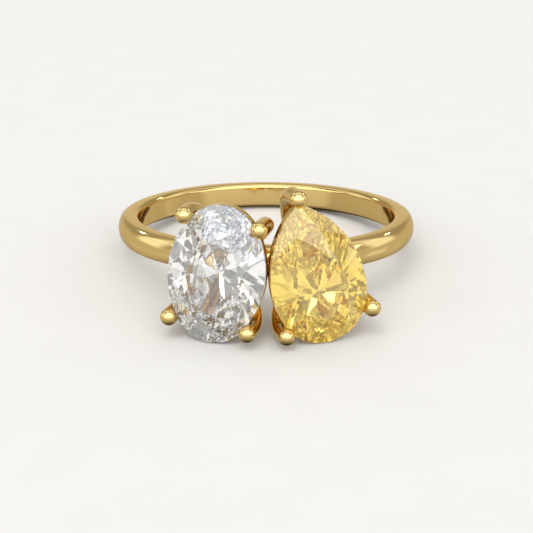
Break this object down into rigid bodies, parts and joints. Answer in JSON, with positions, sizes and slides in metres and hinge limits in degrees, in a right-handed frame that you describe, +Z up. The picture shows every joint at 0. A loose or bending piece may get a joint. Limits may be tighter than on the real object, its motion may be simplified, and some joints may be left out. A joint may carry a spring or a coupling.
{
  "type": "toi et moi ring",
  "caption": "Plain domed band carrying an oval and a pear brilliant side by side in open round-wire prong baskets.",
  "frame": {"origin": "middle of the resting ring's bounding box in X and Y, on the floor it lies on", "axes": "+Z up from the floor, the finger axis 9.0 degrees off +Z; -Y toward the stones; +X from the oval to the pear"},
  "size_m": [0.02, 0.0246, 0.0097],
  "materials": {
    "gold": "polished yellow gold",
    "colourless_stone": "polished facets",
    "yellow_stone": "polished facets"
  },
  "bodies": {
    "root": {"gold_setting": "gold", "oval_stone": "colourless_stone", "pear_stone": "yellow_stone"}
  },
  "joints": []
}
